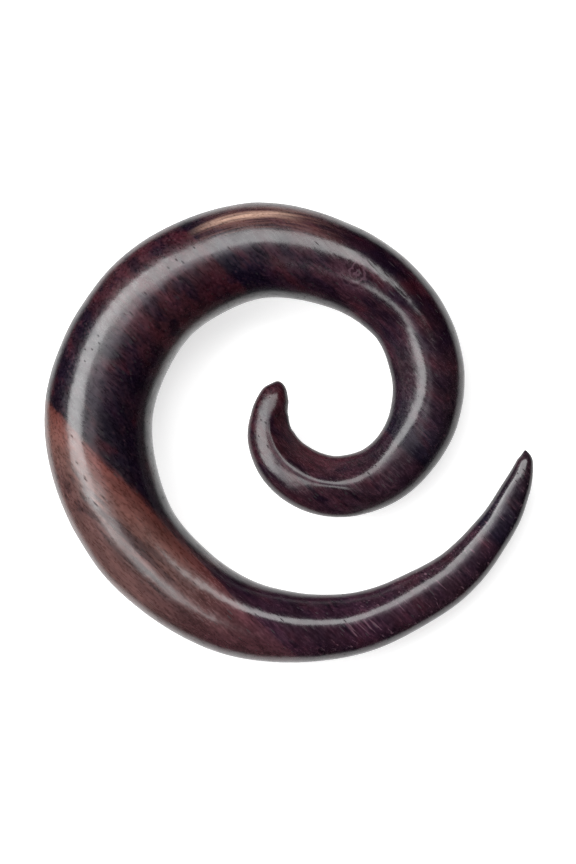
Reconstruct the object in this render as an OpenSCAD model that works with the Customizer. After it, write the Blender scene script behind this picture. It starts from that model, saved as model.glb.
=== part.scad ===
// Spiral ear taper: one piece of dark wood, carved into a coil that is thickest in its outer turn and thins
// to a point at both ends. It lies on its side, so the coil is seen square on from above.

/* [Size] */
// Width of the coil, from the outside of its thickest stretch to the outer tip
spiral_w = 54; // [44:0.5:80]
// Gauge: diameter of the thickest section, the one that is worn in the ear
gauge = 12; // [8:0.5:13]

/* [Tips] */
// Length over which the inner tip is rounded off
inner_nose = 2; // [1:0.1:3]
// Length over which the outer tip is rounded off
outer_nose = 1.2; // [0.8:0.1:2]

/* [Fineness] */
// Steps from the inner tip to the outer tip
steps = 150; // [80:10:160]
// Sides of each section
sides = 32; // [16:4:36]

/* [Hidden] */
wood_colour = "#3b2127";

// One row for each measured section, from the inner tip outwards. The wood is round in every section.
//   turn:  how far round the eye of the coil the section lies, in degrees, anticlockwise from +X
//   reach: from the eye to the middle of the wood, in percent of spiral_w
//   thick: the wood's diameter, in percent of gauge
TURN = 0;
REACH = 1;
THICK = 2;
sections = [
    [151.8, 14.6,  18  ],
    [157,   14.3,  23  ],
    [166,   14.3,  28  ],
    [180,   14.7,  35  ],
    [198,   15.2,  43.5],
    [220,   15.2,  51  ],
    [245,   14.9,  55.5],
    [270,   14.6,  56.5],
    [300,   14.6,  57  ],
    [330,   15.1,  58.5],
    [360,   16.9,  64  ],
    [390,   20.1,  68  ],
    [420,   24.7,  70  ],
    [450,   30.3,  78.5],
    [480,   38.5,  89.5],
    [510,   45.5,  96.5],
    [540,   49.7, 100  ],
    [570,   49.3,  87.5],
    [600,   46.7,  74  ],
    [630,   43.1,  58.5],
    [660,   40.2,  47  ],
    [682,   39,    36  ],
    [697,   38.7,  27  ],
    [705.5, 38.7,  16  ],
    [709.2, 38.2,   6  ]
];
// The three sections that touch the floor when the coil lies on its side, by their turn
feet_turns = [390, 540, 600];

// A row of the table as [x, y, diameter] about the eye of the coil, in millimetres
function laid_out(row) = [
    row[REACH] / 100 * spiral_w * cos(row[TURN]),
    row[REACH] / 100 * spiral_w * sin(row[TURN]),
    row[THICK] / 100 * gauge
];
knots = [for (row = sections) laid_out(row)];
last = len(knots) - 1;

// Knot i, where a number past either end means the end itself
function knot(i) = knots[min(max(i, 0), last)];

// The smooth curve through the knots. g counts rows, and its whole numbers are the knots themselves.
function coil_at(g) =
    let (
        i = min(floor(g), last - 1),
        t = g - i,
        before = knot(i - 1),
        here = knot(i),
        next = knot(i + 1),
        after = knot(i + 2)
    )
    here
    + t * (next - before) / 2
    + t^2 * (2 * before - 5 * here + 4 * next - after) / 2
    + t^3 * (3 * here - before - 3 * next + after) / 2;

// Share of its full diameter that the wood has at this distance from a tip, which makes the tip round
function rounded(distance, nose) = distance < nose ? sqrt(1 - (1 - distance / nose)^2) : 1;

function level(p) = [p.x, p.y, 0];
inner_tip = level(knot(0));
outer_tip = level(knot(last));

// The sections of the sweep as [x, y, diameter]. The rows of the table lie closer together towards both tips,
// and so do these.
stations = [
    for (k = [0 : steps])
        let (
            p = coil_at(last * k / steps),
            diameter = p.z
                * rounded(norm(level(p) - inner_tip), inner_nose)
                * rounded(norm(level(p) - outer_tip), outer_nose)
        )
        [p.x, p.y, diameter]
];

// Points of the ring at station k, in a plane square to the coil's path
function ring(k) =
    let (
        path = level(stations[k + 1] - stations[k - 1]),
        across = [-path.y, path.x, 0] / norm(path),
        radius = stations[k].z / 2
    )
    [
        for (j = [0 : sides - 1])
            let (a = 360 * j / sides)
            level(stations[k]) + radius * (cos(a) * across + [0, 0, sin(a)])
    ];

// The skin of the upright coil: a point at each tip, and a ring at every station between them
rings = steps - 1;
skin = concat([inner_tip], [for (k = [1 : rings]) each ring(k)], [outer_tip]);

function ring_point(k, j) = 1 + k * sides + j % sides;
skin_faces = concat(
    [for (j = [0 : sides - 1]) [0, ring_point(0, j), ring_point(0, j + 1)]],
    [
        for (k = [0 : rings - 2], j = [0 : sides - 1])
            each [
                [ring_point(k, j), ring_point(k + 1, j), ring_point(k + 1, j + 1)],
                [ring_point(k, j), ring_point(k + 1, j + 1), ring_point(k, j + 1)]
            ]
    ],
    [for (j = [0 : sides - 1]) [len(skin) - 1, ring_point(rings - 1, j + 1), ring_point(rings - 1, j)]]
);

// The floor touches three sections as it would touch three balls, so the coil leans a little. floor_slope
// is the sideways part of the unit vector that points squarely into that floor.
feet = [for (row = sections) if (len(search(row[TURN], feet_turns)) > 0) laid_out(row)];
to_second = feet[1] - feet[0];
to_third = feet[2] - feet[0];
spread = to_second.x * to_third.y - to_second.y * to_third.x;
floor_slope = [
    to_second.y * to_third.z - to_third.y * to_second.z,
    to_third.x * to_second.z - to_second.x * to_third.z,
    0
] / 2 / spread;
lean = asin(norm(floor_slope));
lean_axis = [-floor_slope.y, floor_slope.x, 0] / norm(floor_slope);

function leant(p) =
    p * cos(lean) + cross(lean_axis, p) * sin(lean) + lean_axis * (lean_axis * p) * (1 - cos(lean));
resting_skin = [for (p = skin) leant(p)];

// Places the middle of the resting coil's outline over the origin, with its lowest point on the floor
function column(axis) = [for (p = resting_skin) p[axis]];
function middle(axis) = (min(column(axis)) + max(column(axis))) / 2;
origin = [middle(0), middle(1), min(column(2))];

module spiral_taper() {
    color(wood_colour)
        translate(-origin)
            polyhedron(points = resting_skin, faces = skin_faces, convexity = 6);
}

spiral_taper();
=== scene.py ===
# %% [markdown]
# A spiral ear taper, carved from one piece of dark wood
#
# This is a piece of body jewellery for a stretched earlobe. A carver saws a coil from a board of Indonesian
# rosewood, rounds it with knife and file, thins both ends, sands it and polishes it with wax. There is one
# piece and one material, so the whole likeness lies in three things: the sweep of the coil, the colours of
# the wood where the cut crosses its layers, and the way the polish carries the light.
#
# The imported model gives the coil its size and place. This script gives it its smooth skin, wood and light.

# %% Load the frame
import math

import bpy
import numpy as np
from mathutils import Matrix, Vector


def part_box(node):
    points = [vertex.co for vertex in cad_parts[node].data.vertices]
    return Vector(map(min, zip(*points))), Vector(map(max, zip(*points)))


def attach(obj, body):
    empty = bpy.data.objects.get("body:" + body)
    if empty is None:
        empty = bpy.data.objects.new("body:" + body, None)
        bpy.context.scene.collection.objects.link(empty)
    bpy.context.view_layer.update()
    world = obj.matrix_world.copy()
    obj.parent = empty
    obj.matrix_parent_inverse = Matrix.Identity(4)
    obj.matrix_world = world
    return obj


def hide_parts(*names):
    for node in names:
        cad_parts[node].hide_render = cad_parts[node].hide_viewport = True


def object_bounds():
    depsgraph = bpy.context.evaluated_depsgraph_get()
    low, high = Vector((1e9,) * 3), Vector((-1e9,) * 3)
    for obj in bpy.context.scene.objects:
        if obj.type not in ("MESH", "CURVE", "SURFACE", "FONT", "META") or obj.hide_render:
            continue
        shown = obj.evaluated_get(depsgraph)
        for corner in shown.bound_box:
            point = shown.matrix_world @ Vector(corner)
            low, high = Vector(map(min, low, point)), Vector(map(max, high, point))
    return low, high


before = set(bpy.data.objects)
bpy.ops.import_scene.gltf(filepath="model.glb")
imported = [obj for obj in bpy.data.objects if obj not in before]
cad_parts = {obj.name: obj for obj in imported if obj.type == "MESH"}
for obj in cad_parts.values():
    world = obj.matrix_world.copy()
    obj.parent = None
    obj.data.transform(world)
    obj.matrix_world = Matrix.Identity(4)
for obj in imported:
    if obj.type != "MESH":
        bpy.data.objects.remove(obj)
cad_low, cad_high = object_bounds()
print("size of the packed model in mm:", [round(1000 * side, 1) for side in cad_high - cad_low])

# %% [markdown]
# Units and small helpers
#
# Blender works in metres, but a thing this small is easier to describe in millimetres. Colours are picked as
# sRGB hex values, the way a colour picker shows them, and shaders want them linear. All the trees below, for
# the shape, the wood, the paper and the studio, are built with the same small function: it adds a node, sets
# it up and plugs in its inputs.

# %% Units, colours and nodes
MM = 0.001


def linear(hex_colour):
    """The linear RGBA of an sRGB colour such as #3b2127."""
    shares = [int(hex_colour[i : i + 2], 16) / 255 for i in (1, 3, 5)]
    return [s / 12.92 if s <= 0.04045 else ((s + 0.055) / 1.055) ** 2.4 for s in shares] + [1.0]


def add(tree, kind, inputs=None, **settings):
    """Adds a node. inputs maps its sockets, by name or number, to values or to sockets that feed them."""
    node = tree.nodes.new(kind)
    for name, value in settings.items():
        setattr(node, name, value)
    for socket, value in (inputs or {}).items():
        if isinstance(value, bpy.types.NodeSocket):
            tree.links.new(value, node.inputs[socket])
        else:
            node.inputs[socket].default_value = value
    return node


print("#3b2127 as linear RGBA:", [round(share, 4) for share in linear("#3b2127")])

# %% [markdown]
# The line of the coil
#
# The carver's drawing of this coil is a line that winds outwards and a thickness for each place along it.
# Here the drawing is a short table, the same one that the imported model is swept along: how far round the eye
# of the coil a section lies, how far out the middle of the wood is, and how thick it is there. Between the
# rows a Catmull-Rom curve keeps the line smooth, so a row is needed only where the line bends differently.

# %% Sections of the coil
SPIRAL_W = 54.0 * MM
GAUGE = 12.0 * MM
ROUND = 130
# Turn in degrees, reach in percent of the coil's width and thickness in percent of the gauge. Then how far
# the flats on the inner flank, on the outer flank and on the top lie from the middle of the wood, in percent
# of its radius, where ROUND is too far out to cut anything off. Then how far from level the outer flat
# slants, in degrees, and how sharp the ridges between the flats are.
SECTIONS = (
    (151.8, 14.6, 18, ROUND, ROUND, ROUND, 26, 16),
    (157, 14.3, 23, ROUND, 97, ROUND, 26, 16),
    (166, 14.3, 28, ROUND, 97, ROUND, 27, 16),
    (180, 14.7, 35, 86, 97, ROUND, 27, 16),
    (198, 15.2, 43.5, 79, 97, ROUND, 22, 16),
    (220, 15.2, 51, 77, 93, ROUND, 15, 16),
    (245, 14.9, 55.5, 79, 88, ROUND, 20, 16),
    (270, 14.6, 56.5, 86, 85, 110, 36, 18),
    (300, 14.6, 57, 91, 115, 93, 40, 20),
    (330, 15.1, 58.5, 95, ROUND, 91, 40, 14),
    (360, 16.9, 64, 91, ROUND, 97, 40, 13),
    (390, 20.1, 68, 87, ROUND, 120, 40, 12),
    (420, 24.7, 70, 89, ROUND, ROUND, 40, 11),
    (450, 30.3, 78.5, 110, ROUND, ROUND, 40, 14),
    (480, 38.5, 89.5, ROUND, ROUND, ROUND, 40, 20),
    (510, 45.5, 96.5, ROUND, ROUND, ROUND, 40, 20),
    (540, 49.7, 100, ROUND, ROUND, ROUND, 40, 20),
    (570, 49.3, 87.5, ROUND, 110, ROUND, 40, 20),
    (600, 46.7, 74, 105, 115, 108, 40, 20),
    (630, 43.1, 58.5, 84, ROUND, 93, 40, 14),
    (660, 40.2, 47, 98, ROUND, 93, 40, 12),
    (682, 39, 36, 105, ROUND, 93, 40, 12),
    (697, 38.7, 27, 120, ROUND, 94, 40, 14),
    (705.5, 38.7, 16, ROUND, ROUND, ROUND, 40, 20),
    (709.2, 38.2, 6, ROUND, ROUND, ROUND, 40, 20),
)
# The column of each property that the sweep reads, and what a 1 in it stands for
COLUMNS = {
    "thickness": (2, GAUGE / 100),
    "inner_flat": (3, 0.01),
    "outer_flat": (4, 0.01),
    "top_flat": (5, 0.01),
    "outer_slant": (6, math.radians(1)),
    "sharpness": (7, 1.0),
}

drawing = bpy.data.meshes.new("coil_drawing")
points = [
    (
        reach / 100 * SPIRAL_W * math.cos(math.radians(turn)),
        reach / 100 * SPIRAL_W * math.sin(math.radians(turn)),
        0.0,
    )
    for turn, reach, *rest in SECTIONS
]
drawing.from_pydata(points, [(i, i + 1) for i in range(len(points) - 1)], [])
for name, (column, unit) in COLUMNS.items():
    kept = drawing.attributes.new(name, "FLOAT", "POINT")
    kept.data.foreach_set("value", [row[column] * unit for row in SECTIONS])
print("rows in the drawing of the coil:", len(points))

# %% [markdown]
# The sweep and its inputs
#
# A sweep is a rule, so Geometry Nodes make it, in one tree that the next four steps fill. What one may want
# to change is an input with a name: how fine the skin is, where the tips are and how blunt they are, how the
# inner flat slants, how long and deep the waves are that carving leaves, and the wood.

# %% The inputs of the sweep
sweep = bpy.data.node_groups.new("coil_sweep", "GeometryNodeTree")
sweep.interface.new_socket("Drawing", in_out="INPUT", socket_type="NodeSocketGeometry")
sweep.interface.new_socket("Coil", in_out="OUTPUT", socket_type="NodeSocketGeometry")
SWEEP_INPUTS = {
    "Rings per section": ("NodeSocketInt", 22),
    "Sides": ("NodeSocketInt", 96),
    "Inner tip": ("NodeSocketVector", points[0]),
    "Inner nose": ("NodeSocketFloat", 2.0 * MM),
    "Outer tip": ("NodeSocketVector", points[-1]),
    "Outer nose": ("NodeSocketFloat", 1.2 * MM),
    "Slant of the inner flat": ("NodeSocketFloat", math.radians(40)),
    "Length of a carved wave": ("NodeSocketFloat", 6.0 * MM),
    "Depth of a carved wave": ("NodeSocketFloat", 0.2 * MM),
    "Wood": ("NodeSocketMaterial", None),
}
for name, (kind, value) in SWEEP_INPUTS.items():
    sweep.interface.new_socket(name, in_out="INPUT", socket_type=kind)
print("inputs of the sweep:", len(SWEEP_INPUTS) + 1)

# %% [markdown]
# The line, and how thick the wood is along it
#
# The drawing becomes a smooth curve with many points. At each of them, the scale of the wood is half of the
# thickness that the table gives, times a rule that rounds off each tip: close to a tip the wood is as thick
# as a ball's section would be there.

# %% The line and its scale
given = add(sweep, "NodeGroupInput").outputs
line = add(sweep, "GeometryNodeMeshToCurve", {"Mesh": given["Drawing"]})
line = add(sweep, "GeometryNodeCurveSplineType", {"Curve": line.outputs["Curve"]}, spline_type="CATMULL_ROM")
line = add(
    sweep,
    "GeometryNodeSetSplineResolution",
    {"Geometry": line.outputs["Curve"], "Resolution": given["Rings per section"]},
)
line = add(sweep, "GeometryNodeResampleCurve", {"Curve": line.outputs[0]}, mode="EVALUATED")
line = add(sweep, "GeometryNodeSetCurveNormal", {"Curve": line.outputs["Curve"]}, mode="Z_UP")

scale = add(sweep, "GeometryNodeInputNamedAttribute", {"Name": "thickness"}, data_type="FLOAT")
scale = add(sweep, "ShaderNodeMath", {0: scale.outputs["Attribute"], 1: 0.5}, operation="MULTIPLY")
spot = add(sweep, "GeometryNodeInputPosition").outputs["Position"]
for tip, nose in (("Inner tip", "Inner nose"), ("Outer tip", "Outer nose")):
    away = add(sweep, "ShaderNodeVectorMath", {0: spot, 1: given[tip]}, operation="DISTANCE")
    nose_range = {"Value": away.outputs["Value"], "From Min": 0.0, "From Max": given[nose]}
    left = add(sweep, "ShaderNodeMapRange", nose_range | {"To Min": 1.0, "To Max": 0.0})
    square = add(sweep, "ShaderNodeMath", {0: left.outputs["Result"], 1: 2.0}, operation="POWER")
    rest = add(sweep, "ShaderNodeMath", {0: 1.0, 1: square.outputs[0]}, operation="SUBTRACT")
    share = add(sweep, "ShaderNodeMath", {0: rest.outputs[0]}, operation="SQRT")
    scale = add(sweep, "ShaderNodeMath", {0: scale.outputs[0], 1: share.outputs[0]}, operation="MULTIPLY")
print("nodes for the line and its scale:", len(sweep.nodes))

# %% [markdown]
# The round skin
#
# A circle is carried along the line, as a carver would first make the whole coil round. Before that, two
# things are written down on the circle and the line, so that each point of the skin still knows them: its
# place in the circle, and the middle of the wood at its section. At the tips the circle shrinks to a point,
# and merging those points closes the skin.

# %% The round skin
circle = add(sweep, "GeometryNodeCurvePrimitiveCircle", {"Resolution": given["Sides"], "Radius": 1.0})
kept_place = add(sweep, "GeometryNodeCaptureAttribute", {"Geometry": circle.outputs["Curve"]}, domain="POINT")
kept_place.capture_items.new("VECTOR", "place")
sweep.links.new(spot, kept_place.inputs["place"])
kept_middle = add(sweep, "GeometryNodeCaptureAttribute", {"Geometry": line.outputs["Curve"]}, domain="POINT")
kept_middle.capture_items.new("VECTOR", "middle")
sweep.links.new(spot, kept_middle.inputs["middle"])
skin = add(
    sweep,
    "GeometryNodeCurveToMesh",
    {"Curve": kept_middle.outputs[0], "Profile Curve": kept_place.outputs[0], "Scale": scale.outputs[0]},
)
closed = add(sweep, "GeometryNodeMergeByDistance", {"Geometry": skin.outputs["Mesh"], "Distance": 0.001 * MM})
print("nodes up to the round skin:", len(sweep.nodes))

# %% [markdown]
# The carver's flats
#
# A hand-carved coil is never quite round. Where the coil is thin, the knife has left long flats: on the flank
# that faces the eye, on the outer flank and on the top, and alike on the underside. Two of them meet in a
# soft ridge, and a ridge gathers all the reflections of a lamp into a thin line, so the flats are what makes
# the highlight wander from one flank to the other along the coil.
#
# The rule for a flat is a circle met by a straight line. A point of the circle whose reach towards the flat
# is more than the line's is drawn in to the line, and a high power of that share rounds the ridge. The power
# is the sharpness in the table.

# %% The carver's flats
around = add(sweep, "ShaderNodeSeparateXYZ", {"Vector": kept_place.outputs["place"]}).outputs
above = add(sweep, "ShaderNodeMath", {0: around["Y"]}, operation="ABSOLUTE").outputs[0]
column = {}
for name in COLUMNS:
    read = add(sweep, "GeometryNodeInputNamedAttribute", {"Name": name}, data_type="FLOAT")
    column[name] = read.outputs["Attribute"]
sharpness = column["sharpness"]
over = 1.0
for name, slant, operation in (
    ("inner_flat", given["Slant of the inner flat"], "SUBTRACT"),
    ("outer_flat", column["outer_slant"], "ADD"),
    ("top_flat", 0.0, "ADD"),
):
    sine = add(sweep, "ShaderNodeMath", {0: slant}, operation="SINE").outputs[0]
    cosine = add(sweep, "ShaderNodeMath", {0: slant}, operation="COSINE").outputs[0]
    sideways = add(sweep, "ShaderNodeMath", {0: around["X"], 1: sine}, operation="MULTIPLY").outputs[0]
    upright = add(sweep, "ShaderNodeMath", {0: above, 1: cosine}, operation="MULTIPLY").outputs[0]
    towards = add(sweep, "ShaderNodeMath", {0: upright, 1: sideways}, operation=operation).outputs[0]
    towards = add(sweep, "ShaderNodeMath", {0: towards, 1: 0.0}, operation="MAXIMUM").outputs[0]
    share = add(sweep, "ShaderNodeMath", {0: towards, 1: column[name]}, operation="DIVIDE").outputs[0]
    share = add(sweep, "ShaderNodeMath", {0: share, 1: sharpness}, operation="POWER").outputs[0]
    over = add(sweep, "ShaderNodeMath", {0: share, 1: over}, operation="ADD").outputs[0]
root = add(sweep, "ShaderNodeMath", {0: -1.0, 1: sharpness}, operation="DIVIDE").outputs[0]
left = add(sweep, "ShaderNodeMath", {0: over, 1: root}, operation="POWER").outputs[0]
middle_of_wood = kept_middle.outputs["middle"]
arm = add(sweep, "ShaderNodeVectorMath", {0: spot, 1: middle_of_wood}, operation="SUBTRACT").outputs[0]
arm = add(sweep, "ShaderNodeVectorMath", {0: arm, "Scale": left}, operation="SCALE").outputs[0]
target = add(sweep, "ShaderNodeVectorMath", {0: middle_of_wood, 1: arm}, operation="ADD").outputs[0]
cut = {"Geometry": closed.outputs["Geometry"], "Position": target}
flattened = add(sweep, "GeometryNodeSetPosition", cut)
print("nodes up to the flats:", len(sweep.nodes))

# %% [markdown]
# Shallow waves, and the finished coil
#
# Carving by hand leaves long, shallow waves, so the last step moves the skin in and out by a few hundredths
# of a millimetre, with a noise that is several millimetres long. The columns of the table have then done
# their work and come off the mesh, and the skin is shaded smooth and given its wood.

# %% Shallow waves and the finished coil
wave = add(sweep, "ShaderNodeMath", {0: 1.0, 1: given["Length of a carved wave"]}, operation="DIVIDE")
wave = add(sweep, "ShaderNodeTexNoise", {"Vector": spot, "Scale": wave.outputs[0], "Detail": 1.0})
wave = add(sweep, "ShaderNodeMath", {0: wave.outputs["Fac"], 1: 0.5}, operation="SUBTRACT")
depth = given["Depth of a carved wave"]
wave = add(sweep, "ShaderNodeMath", {0: wave.outputs[0], 1: depth}, operation="MULTIPLY")
facing = add(sweep, "GeometryNodeInputNormal").outputs["Normal"]
push = add(sweep, "ShaderNodeVectorMath", {0: facing, "Scale": wave.outputs[0]}, operation="SCALE")
waved = {"Geometry": flattened.outputs["Geometry"], "Offset": push.outputs[0]}
plain = add(sweep, "GeometryNodeSetPosition", waved)
for name in COLUMNS:
    plain = add(sweep, "GeometryNodeRemoveAttribute", {"Geometry": plain.outputs["Geometry"], "Name": name})
smooth = add(sweep, "GeometryNodeSetShadeSmooth", {"Geometry": plain.outputs["Geometry"]})
real = add(sweep, "GeometryNodeRealizeInstances", {"Geometry": smooth.outputs["Geometry"]})
given_wood = {"Geometry": real.outputs["Geometry"], "Material": given["Wood"]}
wooden = add(sweep, "GeometryNodeSetMaterial", given_wood)
add(sweep, "NodeGroupOutput", {"Coil": wooden.outputs["Geometry"]})
print("nodes in the sweep:", len(sweep.nodes))

# %% [markdown]
# Rosewood, waxed
#
# Rosewood is a dark, dense timber. Its heartwood lies in layers: purple-brown, red-brown and nearly black,
# with a band of lighter brown outside them. The carver cut the coil across those layers, so they cross it as
# straight bands, all at the same slant, wherever the coil happens to run. So the colour has to fill the
# solid, as real wood does, and isn't wrapped round the surface. Everything below is worked out from a place
# in the block of wood, in millimetres: x is along the grain, y across the layers, z through the thickness.

# %% The board: places in millimetres along and across the grain
GRAIN_TURN = math.radians(-45)

# Waxed rosewood: dark, open-pored wood, sanded fine and polished with wax until it mirrors the lamps
rosewood = bpy.data.materials.new("waxed_rosewood")
rosewood.use_nodes = True
wood = rosewood.node_tree
wood.nodes.clear()
metres = add(wood, "ShaderNodeTexCoord").outputs["Object"]
# The place and lean of this first mapping are set further down, once the coil lies where it should
coil_mm = add(wood, "ShaderNodeMapping", {"Vector": metres, "Scale": (MM, MM, MM)}, vector_type="TEXTURE")
board_mm = add(
    wood,
    "ShaderNodeMapping",
    {"Vector": coil_mm.outputs["Vector"], "Rotation": (0, 0, GRAIN_TURN)},
    vector_type="TEXTURE",
)
board = board_mm.outputs["Vector"]
ways = add(wood, "ShaderNodeSeparateXYZ", {"Vector": board}).outputs


def calculate(operation, *inputs):
    return add(wood, "ShaderNodeMath", dict(enumerate(inputs)), operation=operation).outputs[0]


def stretched(length, width):
    """Places in the board, scaled so that one unit is this long along the grain and this wide across it."""
    scales = (1 / length, 1 / width, 1 / width)
    return add(wood, "ShaderNodeVectorMath", {0: board, 1: scales}, operation="MULTIPLY").outputs["Vector"]


def grain(length, width, detail=2.0, roughness=0.5):
    """Noise around 0.5 whose features are this many millimetres long along the grain and wide across it."""
    inputs = {"Vector": stretched(length, width), "Scale": 1.0, "Detail": detail, "Roughness": roughness}
    return add(wood, "ShaderNodeTexNoise", inputs).outputs["Fac"]


def between(value, low, high, new_low=0.0, new_high=1.0):
    """The value carried from one range to another, levelling off softly at both ends."""
    inputs = {"Value": value, "From Min": low, "From Max": high, "To Min": new_low, "To Max": new_high}
    return add(wood, "ShaderNodeMapRange", inputs, interpolation_type="SMOOTHSTEP").outputs["Result"]


def product(*factors):
    result = factors[0]
    for factor in factors[1:]:
        result = calculate("MULTIPLY", result, factor)
    return result


def stained(colour, stain, amount):
    """The colour with this share of the stain mixed into it."""
    inputs = {"Factor": amount, 6: colour, 7: linear(stain)}
    return add(wood, "ShaderNodeMix", inputs, data_type="RGBA").outputs[2]


print("degrees from the coil's +X to the grain:", round(math.degrees(GRAIN_TURN)))

# %% [markdown]
# Layers
#
# The layers are a colour ramp that is read across the grain. A layer also changes slowly along the grain, so
# there are two ramps, one for each end, that are mixed from the one end to the other. No board is quite
# straight, so the place where they are read wanders by a millimetre over the length of the coil and trembles
# by a tenth of one close up, which gives each border the small teeth that fibres have.

# %% Layers of the heartwood
# Millimetres across the grain from the eye of the coil, towards the upper right, and the colour of the layer
# there at its upper left end and at its lower right end
LAYERS = (
    (-34.0, "#6f4d46", "#3c2028"),
    (-29.5, "#664744", "#3b1f27"),
    (-27.0, "#573b39", "#3f2229"),
    (-25.4, "#644540", "#482b31"),
    (-24.2, "#64403a", "#4b2c32"),
    (-22.3, "#5e302b", "#4a2a33"),
    (-21.9, "#140513", "#361d2b"),
    (-18.5, "#110516", "#271522"),
    (-15.6, "#200e1b", "#331a28"),
    (-14.2, "#1c0a18", "#301a29"),
    (-13.4, "#0d0313", "#331c2a"),
    (-12.4, "#170818", "#301b28"),
    (-11.5, "#280e1a", "#2f1926"),
    (-8.0, "#371a22", "#341f2a"),
    (-4.0, "#391a22", "#2f1c26"),
    (-1.0, "#2a0c18", "#2c1b25"),
    (1.7, "#35111b", "#2d1924"),
    (2.2, "#0e0417", "#191220"),
    (4.2, "#13071b", "#1d1621"),
    (5.4, "#220d1d", "#231b26"),
    (8.0, "#2e1622", "#241822"),
    (11.0, "#351c27", "#2a1c23"),
    (15.0, "#1e0a17", "#201019"),
    (20.0, "#2c141e", "#2c141e"),
    (24.0, "#422623", "#422623"),
)
# How far a border would move between the lowest and the highest value of its noise, in millimetres
WANDER = 2.6
TREMBLE = 0.5
wander = calculate("MULTIPLY", calculate("SUBTRACT", grain(24, 9), 0.5), WANDER)
tremble = calculate("MULTIPLY", calculate("SUBTRACT", grain(3, 0.5), 0.5), TREMBLE)
layer_place = calculate("ADD", calculate("ADD", ways["Y"], wander), tremble)
first_mm, last_mm = LAYERS[0][0], LAYERS[-1][0]
level = add(wood, "ShaderNodeMapRange", {"Value": layer_place, "From Min": first_mm, "From Max": last_mm})


def layered(column):
    """The colour of the layer at this place, from one column of the table."""
    layers = add(wood, "ShaderNodeValToRGB", {"Fac": level.outputs["Result"]})
    stops = layers.color_ramp.elements
    while len(stops) < len(LAYERS):
        stops.new(1.0)
    for stop, row in zip(stops, LAYERS):
        stop.position = (row[0] - first_mm) / (last_mm - first_mm)
        stop.color = linear(row[column])
    return layers.outputs["Color"]


along = between(ways["X"], -5.0, 12.0)
ends = {"Factor": along, 6: layered(1), 7: layered(2)}
colour = add(wood, "ShaderNodeMix", ends, data_type="RGBA").outputs[2]
print("layers in the heartwood:", len(LAYERS))

# %% [markdown]
# Dark veins
#
# Resin and minerals darken single fibres far more than their neighbours. In the heartwood such veins are
# nearly black, about 9 mm long and under a millimetre wide. The brown band has few of them, gathered in one
# bundle of soft flames near its middle, so they need a window across the grain and one along it.

# %% Dark veins
BROWN_BORDER = (-22.2, -21.9)
brown = between(layer_place, *BROWN_BORDER, 1.0, 0.0)
few_in_brown = calculate("MULTIPLY_ADD", brown, -0.7, 1.0)
veins = product(between(grain(9, 0.7, detail=3.0), 0.56, 0.7, 0.0, 0.7), few_in_brown)
colour = stained(colour, "#0f0512", veins)
in_brown = product(between(layer_place, -28.6, -27.4), between(layer_place, -25.4, -24.2, 1.0, 0.0))
in_reach = product(between(ways["X"], -18.0, -15.0), between(ways["X"], -1.0, 2.5, 1.0, 0.0))
flames = product(in_brown, in_reach, between(grain(7, 0.5, detail=2.0), 0.42, 0.6, 0.0, 0.66))
colour = stained(colour, "#1c0e14", flames)
print("nodes in the wood with the veins:", len(wood.nodes))

# %% [markdown]
# Blotches
#
# Within a layer the colour isn't even either: patches of 2 by 4 mm are almost blue-black in one place and
# blood-red in the next. One noise serves both, its low values for the black and its high ones for the red, so
# that the two never meet. The brown band has none, and they fade towards the outer tip.

# %% Blotches of the heartwood
patchy = calculate("SUBTRACT", 1.0, calculate("MAXIMUM", brown, calculate("MULTIPLY", along, 0.5)))
blotches = grain(4.0, 1.8, detail=2.0)
colour = stained(colour, "#0c0416", product(patchy, between(blotches, 0.36, 0.5, 0.65, 0.0)))
colour = stained(colour, "#45161e", product(patchy, between(blotches, 0.52, 0.7, 0.0, 0.38)))
print("nodes in the wood with the blotches:", len(wood.nodes))

# %% [markdown]
# Fibres and figure
#
# Close up the wood is a bundle of fibres. Three noises, each longer along the grain than across it, make the
# shade rise and fall by a fifth: the figure over millimetres, the fibres over a quarter of one, and short
# flecks that break the fibres up. In patches, the palest fibres also turn a greyish pink, most of all at the
# upper left, which keeps the dark wood from looking painted. Towards the outer tip a few fibres stand out as
# pale lines.

# %% Fibres and figure
figure = between(grain(6, 1.4, detail=3.0), 0.34, 0.66, 0.8, 1.2)
fibre_noise = grain(2.2, 0.26, detail=3.0, roughness=0.6)
fibres = between(fibre_noise, 0.3, 0.7, 0.78, 1.22)
fleck = between(grain(0.5, 0.22, detail=1.5), 0.3, 0.7, 0.84, 1.16)
shade = product(figure, fibres, fleck)
colour = add(wood, "ShaderNodeVectorMath", {0: colour, "Scale": shade}, operation="SCALE").outputs["Vector"]
patches = between(grain(5, 1.8, detail=2.0), 0.42, 0.6, 0.05, 0.28)
upper_left = between(ways["X"], -27.0, -20.0, 2.2, 1.0)
warm = product(between(fibre_noise, 0.54, 0.76), patches, few_in_brown, upper_left)
colour = stained(colour, "#67414a", warm)
pale = product(between(grain(4.0, 0.3, detail=2.0), 0.62, 0.72), between(ways["X"], 14.0, 18.0, 0.0, 0.35))
colour = stained(colour, "#8a6a76", pale)
print("nodes in the wood with the fibres:", len(wood.nodes))

# %% [markdown]
# A painted highlight on the outer flank
#
# The next three marks are all on the upper side only. The first is a painted highlight high on the outer
# flank, where a lamp's reflection lies, given the look of a sliver of paler wood: a broad soft painted glow
# and, along its middle, a narrow light line, both broken into fine lines. It follows an arc that runs with
# the flank, so it is worked out from the distance to the arc's middle, and that distance gets a function of
# its own.

# %% Painted highlight on the outer flank
coil_place = coil_mm.outputs["Vector"]
round_eye = add(wood, "ShaderNodeSeparateXYZ", {"Vector": coil_place}).outputs
top_side = between(round_eye["Z"], 0.5, 2.0)
flat_place = add(wood, "ShaderNodeVectorMath", {0: coil_place, 1: (1, 1, 0)}, operation="MULTIPLY").outputs[0]


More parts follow.
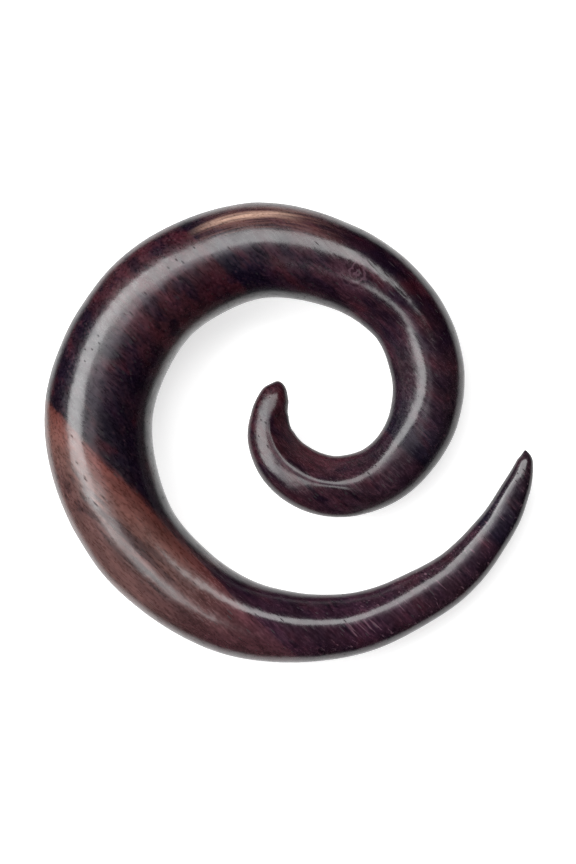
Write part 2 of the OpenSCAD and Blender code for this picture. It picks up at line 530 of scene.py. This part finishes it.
def from_point(x, y):
    """How many millimetres a place is from the line through x and y that stands square on the coil."""
    point = (x, y, 0)
    return add(wood, "ShaderNodeVectorMath", {0: flat_place, 1: point}, operation="DISTANCE").outputs["Value"]


ARC_MIDDLE = (-8.0, 3.2)
ARC_RADIUS = 18.75
past_arc = calculate("SUBTRACT", from_point(*ARC_MIDDLE), ARC_RADIUS)
off_arc = calculate("ABSOLUTE", past_arc)
# The noise that breaks both painted stains into lines is long along the streak and fine across it
line_place = {"X": calculate("MULTIPLY", round_eye["X"], 0.22), "Y": calculate("MULTIPLY", past_arc, 4.5)}
line_place = add(wood, "ShaderNodeCombineXYZ", line_place).outputs["Vector"]
lines = add(wood, "ShaderNodeTexNoise", {"Vector": line_place, "Scale": 1.0, "Detail": 2.0}).outputs["Fac"]
stretch = product(between(round_eye["X"], -17.4, -12.0), top_side)
low_reach = product(stretch, between(round_eye["X"], -5.0, 1.5, 1.0, 0.0))
# The broad soft stain is a painted glow round the highlight
painted_glow_lines = product(between(lines, 0.4, 0.62, 0.2, 1.0), between(off_arc, 0.5, 2.6, 0.75, 0.0), low_reach)
colour = stained(colour, "#6f4d48", painted_glow_lines)
high_reach = product(stretch, between(round_eye["X"], -8.0, -3.6, 1.0, 0.0))
near_arc = between(off_arc, 0.05, 0.6, 0.9, 0.0)
# The narrow light line is the painted highlight itself
painted_highlight_lines = product(between(lines, 0.34, 0.56, 0.45, 1.0), near_arc, high_reach, fleck)
colour = stained(colour, "#bf9b89", painted_highlight_lines)
print("nodes in the wood with the streak:", len(wood.nodes))

# %% [markdown]
# A pin knot
#
# A twig that died young leaves a pin knot, a few rings round a point. The rings are a sine of the distance
# from that point. A noise bends them, and they fade within three millimetres.

# %% Pin knot
KNOT = (1.66, 15.5)
# How far the sine gets in a millimetre, and how far the noise can shift it, in radians
RING_PACE = 7.0
RING_BEND = 16.0
off_knot = from_point(*KNOT)
paced = calculate("MULTIPLY", off_knot, RING_PACE)
bent = calculate("ADD", paced, calculate("MULTIPLY", grain(1.2, 0.7), RING_BEND))
rings = between(calculate("SINE", bent), -0.2, 0.9)
colour = stained(colour, "#5d444f", product(between(off_knot, 0.4, 2.6, 0.65, 0.0), rings, top_side))
print("nodes in the wood with the knot:", len(wood.nodes))

# %% [markdown]
# A drying check
#
# A check is a hair-thin crack along the grain, where the wood shrank as it dried. Here it is a nearly black
# line at one place across the grain, a little crooked and about six millimetres long. The relief further down
# cuts it in as well.

# %% Drying check
CHECK_ACROSS = 14.0
CHECK_BEND = 0.7
crooked = calculate("MULTIPLY", calculate("SUBTRACT", grain(2.0, 2.0), 0.5), CHECK_BEND)
past_check = calculate("SUBTRACT", ways["Y"], CHECK_ACROSS)
off_check = calculate("ABSOLUTE", calculate("ADD", past_check, crooked))
check_length = product(between(ways["X"], -10.5, -9.0), between(ways["X"], -5.0, -3.4, 1.0, 0.0), top_side)
check = product(between(off_check, 0.05, 0.16, 1.0, 0.0), check_length)
colour = stained(colour, "#08040a", check)
print("nodes in the wood with the check:", len(wood.nodes))

# %% [markdown]
# Pores
#
# Rosewood has scattered, open pores. Where the surface runs with the grain it cuts them lengthwise, so each
# shows as a dark dash up to a millimetre long. A cell pattern stretched along the grain puts one dash in each
# cell, and two cells in five keep theirs.

# %% Pores
EMPTY_CELLS = 0.6
cells = add(wood, "ShaderNodeTexVoronoi", {"Vector": stretched(2.4, 0.38), "Scale": 1.0})
chance = add(wood, "ShaderNodeSeparateColor", {"Color": cells.outputs["Color"]}).outputs["Red"]
kept = calculate("GREATER_THAN", chance, EMPTY_CELLS)
pores = calculate("MULTIPLY", between(cells.outputs["Distance"], 0.12, 0.24, 1.0, 0.0), kept)
colour = stained(colour, "#0a060a", calculate("MULTIPLY", pores, 0.6))
print("nodes in the wood with the pores:", len(wood.nodes))

# %% [markdown]
# Relief
#
# Sanding leaves the surface faintly uneven, by a few hundredths of a millimetre, which makes the edges of the
# reflections waver. The pale fibres and flecks stand up by a trace, and the check lies open. All of it is one
# height in millimetres, which a bump node turns into tilts of the surface. The bare wood gets the whole of
# it, and the wax evens it out a little, so there are two bump nodes.

# %% Relief
# Heights in millimetres
FIBRE_HEIGHT = 0.0055
FLECK_HEIGHT = 0.001
SANDING_HEIGHT = 0.045
CHECK_DEPTH = 0.01
sanding = add(wood, "ShaderNodeTexNoise", {"Vector": coil_place, "Scale": 0.7, "Detail": 1.5}).outputs["Fac"]
relief_mm = calculate("MULTIPLY", fibres, FIBRE_HEIGHT)
relief_mm = calculate("MULTIPLY_ADD", fleck, FLECK_HEIGHT, relief_mm)
relief_mm = calculate("MULTIPLY_ADD", sanding, SANDING_HEIGHT, relief_mm)
relief_mm = calculate("MULTIPLY_ADD", check, -CHECK_DEPTH, relief_mm)
raw_relief = add(wood, "ShaderNodeBump", {"Height": relief_mm, "Strength": 1.0, "Distance": MM})
wax_relief = add(wood, "ShaderNodeBump", {"Height": relief_mm, "Strength": 0.6, "Distance": MM})
print("nodes in the wood with the relief:", len(wood.nodes))

# %% [markdown]
# Wax
#
# The gloss is wax rubbed over sanded wood. The wood underneath reflects softly, and more softly where its
# fibres are pale, where the wax is thin and on the thick side of the coil, which is sanded less fine. The
# coat of wax gives the clear reflections of the lamps. A polishing cloth hardly gets into the inner turn, so
# the wax is thinner there and thinnest at the inner tip, and it is a little thinner towards the outer tip.
# The wood takes it unevenly, and it doesn't bridge the pores, so each breaks the reflection with a dull dash.

# %% Wax
# The roughness of the wood under the wax
polish = between(product(fibres, fleck), 0.75, 1.25, 0.15, 0.25)
# The share of the wax that gets there, by the distance from the inner tip, from the eye and along the grain
off_tip = from_point(*[place / MM for place in points[0][:2]])
off_eye = from_point(0, 0)
reached = product(between(off_tip, 6.0, 10.5, 0.35, 1.0), between(off_eye, 11.0, 17.0, 0.42, 1.0))
reached = product(reached, between(ways["X"], 8.0, 18.0, 1.0, 0.8))
polish = calculate("MULTIPLY_ADD", calculate("SUBTRACT", 1.0, reached), 0.08, polish)
# The thick side is the left and upper left one, outside the inner turn
towards_thin_side = calculate("MULTIPLY_ADD", round_eye["Y"], -0.35, round_eye["X"])
coarse = product(between(towards_thin_side, -12.0, -4.0, 0.11, 0.0), between(off_eye, 10.0, 14.0))
polish = calculate("ADD", polish, coarse)
taken = between(grain(2.4, 0.9, detail=3.0), 0.36, 0.64, 0.7, 1.0)
shader = add(
    wood,
    "ShaderNodeBsdfPrincipled",
    {
        "Base Color": colour,
        "Roughness": calculate("MULTIPLY_ADD", pores, 0.5, polish),
        "IOR": 1.55,
        "Normal": raw_relief.outputs["Normal"],
        "Coat Weight": product(reached, taken, calculate("MULTIPLY_ADD", pores, -0.9, 1.0)),
        "Coat Roughness": 0.17,
        "Coat IOR": 1.5,
        "Coat Normal": wax_relief.outputs["Normal"],
    },
)
add(wood, "ShaderNodeOutputMaterial", {"Surface": shader.outputs["BSDF"]})
print("nodes in the wood:", len(wood.nodes))

# %% [markdown]
# Making the coil
#
# The tree of the sweep works as a modifier, so it needs an object to work on: the drawing. The inputs are set
# before anything is evaluated, each by the identifier of its socket, and the finished mesh is taken from the
# evaluated object. The drawing isn't needed after that.

# %% Make the coil
maker = bpy.data.objects.new("coil_maker", drawing)
bpy.context.scene.collection.objects.link(maker)
modifier = maker.modifiers.new("sweep", "NODES")
modifier.node_group = sweep
values = {name: value for name, (kind, value) in SWEEP_INPUTS.items()} | {"Wood": rosewood}
for item in sweep.interface.items_tree:
    if item.in_out == "INPUT" and item.name in values:
        modifier[item.identifier] = values[item.name]

evaluated = maker.evaluated_get(bpy.context.evaluated_depsgraph_get())
coil_mesh = bpy.data.meshes.new_from_object(evaluated)
bpy.data.objects.remove(maker)
print("the coil has", len(coil_mesh.vertices), "points and", len(coil_mesh.polygons), "faces")

# %% [markdown]
# Laying it down
#
# The coil doesn't lie quite level: its thick side lifts the thin ones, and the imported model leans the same
# way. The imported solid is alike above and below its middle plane, so the direction in which its points spread
# least is square to that plane. Turning the new coil's own +Z to that direction leans it alike, and the two
# boxes then say how far to shift it.

# %% Lean and place
def places(mesh):
    """The places of a mesh's points, one in each row."""
    spots = np.empty(3 * len(mesh.vertices))
    mesh.vertices.foreach_get("co", spots)
    return spots.reshape(-1, 3)


spots = places(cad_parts["spiral_taper"].data)
square_to_plane = Vector(np.linalg.svd(spots - spots.mean(axis=0), full_matrices=False)[2][2])
if square_to_plane.z < 0:
    square_to_plane.negate()
lean = Vector((0, 0, 1)).rotation_difference(square_to_plane)
coil_mesh.transform(lean.to_matrix().to_4x4())

spots = places(coil_mesh)
cad_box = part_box("spiral_taper")
shift = (cad_box[0] + cad_box[1] - Vector(spots.min(axis=0)) - Vector(spots.max(axis=0))) / 2
coil_mesh.transform(Matrix.Translation(shift))
print("lean in degrees:", round(math.degrees(square_to_plane.angle(Vector((0, 0, 1)))), 2))
print("eye of the coil in mm:", [round(1000 * c, 2) for c in shift])

# The block of wood is laid down with the coil: its middle is the eye, and it leans alike
coil_mm.inputs["Location"].default_value = shift
coil_mm.inputs["Rotation"].default_value = lean.to_euler()

coil = bpy.data.objects.new("rosewood_coil", coil_mesh)
bpy.context.scene.collection.objects.link(coil)
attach(coil, "root")
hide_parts("spiral_taper")

# %% [markdown]
# Floor
#
# The floor is matt white paper, as in a catalogue picture: a diffuse sheet that is lifted to pure white for
# the camera, so only the shadow of the coil shows on it. Its mirror image in the wax is a setting of its own.
# Along the lower edge of every flank the wax mirrors the paper right beside the coil, as a pale rim a
# millimetre wide. For reflections the paper isn't lit by the lamps but glows on its own, so that rim is
# painted light, and it fades where the mirrored paper is farther away.

# %% Floor
FLOOR_SIZE = 6.0
bpy.ops.mesh.primitive_plane_add(size=FLOOR_SIZE)
floor = bpy.context.object
floor.name = "floor"
# Matt white paper, which has no gloss of its own
paper = bpy.data.materials.new("white_paper")
paper.use_nodes = True
sheet = paper.node_tree
sheet.nodes.clear()
matt = add(sheet, "ShaderNodeBsdfDiffuse", {"Color": linear("#ebebeb")})
ray = add(sheet, "ShaderNodeLightPath").outputs
# In reflections the paper is a painted glow, not lit paper: even up to 11 mm away and gone by 18 mm
nearness = {"Value": ray["Ray Length"], "From Min": 11 * MM, "From Max": 18 * MM}
paper_glow_in_reflections = add(sheet, "ShaderNodeMapRange", nearness | {"To Min": 0.76, "To Max": 0.0}).outputs["Result"]
paper_glow_in_reflections = add(sheet, "ShaderNodeEmission", {"Strength": paper_glow_in_reflections})
lift = add(sheet, "ShaderNodeMath", {0: ray["Is Camera Ray"], 1: 0.6}, operation="MULTIPLY").outputs[0]
lifted = add(sheet, "ShaderNodeEmission", {"Strength": lift})
seen = add(sheet, "ShaderNodeAddShader", {0: matt.outputs[0], 1: lifted.outputs[0]})
looks = {0: ray["Is Glossy Ray"], 1: seen.outputs[0], 2: paper_glow_in_reflections.outputs[0]}
both = add(sheet, "ShaderNodeMixShader", looks)
add(sheet, "ShaderNodeOutputMaterial", {"Surface": both.outputs[0]})
floor.data.materials.append(paper)
print("nodes in the paper:", len(sheet.nodes))

# %% [markdown]
# Softboxes
#
# Glossy wood shows its lamps. The highlight on the coil is the mirror image of softboxes hung above it: a
# large one to the left, a dimmer one along the top with a faint strip beside it, and a small one below. Their
# places are given as shares of their height, because a flank that tilts by a certain angle mirrors a certain
# share, whatever the height is. The brightness that a panel shows in a mirror is its radiance, so its power
# follows from that and its area.

# %% Softboxes
PANEL_HEIGHT = 0.6
RADIANCE = 5.35
# Low x, high x, low y and high y of each panel, in shares of its height above the floor, and its brightness
PANELS = {
    "left_softbox": (-1.8, -0.55, -0.6, 1.1, 1.0),
    "top_softbox": (-0.55, 0.7, 0.33, 1.1, 0.7),
    "top_edge": (-0.5, 0.03, 0.17, 0.33, 0.2),
    "low_softbox": (-0.55, -0.05, -0.68, -0.28, 0.6),
}
for name, (low_x, high_x, low_y, high_y, share) in PANELS.items():
    lamp = bpy.data.lights.new(name, "AREA")
    lamp.shape = "RECTANGLE"
    lamp.size = (high_x - low_x) * PANEL_HEIGHT
    lamp.size_y = (high_y - low_y) * PANEL_HEIGHT
    lamp.energy = RADIANCE * share * math.pi * lamp.size * lamp.size_y
    panel = bpy.data.objects.new(name, lamp)
    panel.location = (
        (low_x + high_x) / 2 * PANEL_HEIGHT,
        (low_y + high_y) / 2 * PANEL_HEIGHT,
        PANEL_HEIGHT,
    )
    bpy.context.scene.collection.objects.link(panel)
print("softboxes:", len(PANELS))

# %% [markdown]
# The studio around them
#
# A softbox isn't sharp-edged: the ceiling beside it glows as well. Three soft glows in the world, which only
# reflections see and which are tinted faintly pink, lay that haze beside the highlight. For shading, the
# world is an even, dim white, and for the camera it is as white as the floor.

# %% Studio and glows
world = bpy.data.worlds.new("studio")
bpy.context.scene.world = world
world.use_nodes = True
sky = world.node_tree
sky.nodes.clear()
ray = add(sky, "ShaderNodeLightPath").outputs
shown = add(sky, "ShaderNodeMapRange", {"Value": ray["Is Camera Ray"], "To Min": 0.15, "To Max": 1.0})
towards_sky = add(sky, "ShaderNodeTexCoord").outputs["Generated"]
# Azimuth, tilt from overhead and reach of each glow in degrees, and its strength
GLOWS = ((100, 13, 14, 1.0), (166, 12, 13, 0.5), (240, 13, 12, 0.5))
# A glow is evenly bright up to this many degrees from its middle
GLOW_CORE = 5
# What a reflection shows where there is no glow
soft = 0.004
for azimuth, tilt, reach, brightness in GLOWS:
    middle = Matrix.Rotation(math.radians(azimuth), 3, "Z") @ Matrix.Rotation(math.radians(tilt), 3, "Y")
    near = add(sky, "ShaderNodeVectorMath", {0: towards_sky, 1: middle.col[2]}, operation="DOT_PRODUCT")
    edges = {"From Min": math.cos(math.radians(reach)), "From Max": math.cos(math.radians(GLOW_CORE))}
    levels = {"Value": near.outputs["Value"], "To Min": 0.0, "To Max": brightness}
    one = add(sky, "ShaderNodeMapRange", edges | levels, interpolation_type="SMOOTHSTEP").outputs["Result"]
    soft = add(sky, "ShaderNodeMath", {0: one, 1: soft}, operation="ADD").outputs[0]
strength = add(sky, "ShaderNodeMix", {0: ray["Is Glossy Ray"], 2: shown.outputs["Result"], 3: soft})
tints = {0: ray["Is Glossy Ray"], 6: linear("#ffffff"), 7: linear("#f4e6f2")}
tint = add(sky, "ShaderNodeMix", tints, data_type="RGBA")
glow = add(sky, "ShaderNodeBackground", {"Color": tint.outputs[2], "Strength": strength.outputs[0]})
add(sky, "ShaderNodeOutputWorld", {"Surface": glow.outputs["Background"]})
print("glows:", len(GLOWS))

# %% [markdown]
# Camera
#
# The camera looks squarely at the coil's own middle plane, so it stands over the coil and leans with it. A
# long lens keeps the near and the far flank alike, as in a catalogue picture. The distance follows from how
# wide the coil should be in the picture.

# %% Camera
LENS = 150.0
SENSOR = 36.0
PICTURE = (576, 864)
COIL_WIDTH_PX = 490
height_shown = (cad_high.x - cad_low.x) * PICTURE[1] / COIL_WIDTH_PX
camera_data = bpy.data.cameras.new("camera")
camera_data.lens = LENS
camera_data.sensor_width = SENSOR
camera = bpy.data.objects.new("camera", camera_data)
distance = height_shown * LENS / SENSOR
middle = (cad_low + cad_high) / 2
camera.location = middle + square_to_plane * distance
camera.rotation_mode = "QUATERNION"
camera.rotation_quaternion = lean
camera_data.clip_start = 0.01
camera_data.clip_end = 20.0
bpy.context.scene.collection.objects.link(camera)
bpy.context.scene.camera = camera
bpy.context.scene.view_settings.view_transform = "Standard"
print("camera height in mm:", round(1000 * camera.location.z))
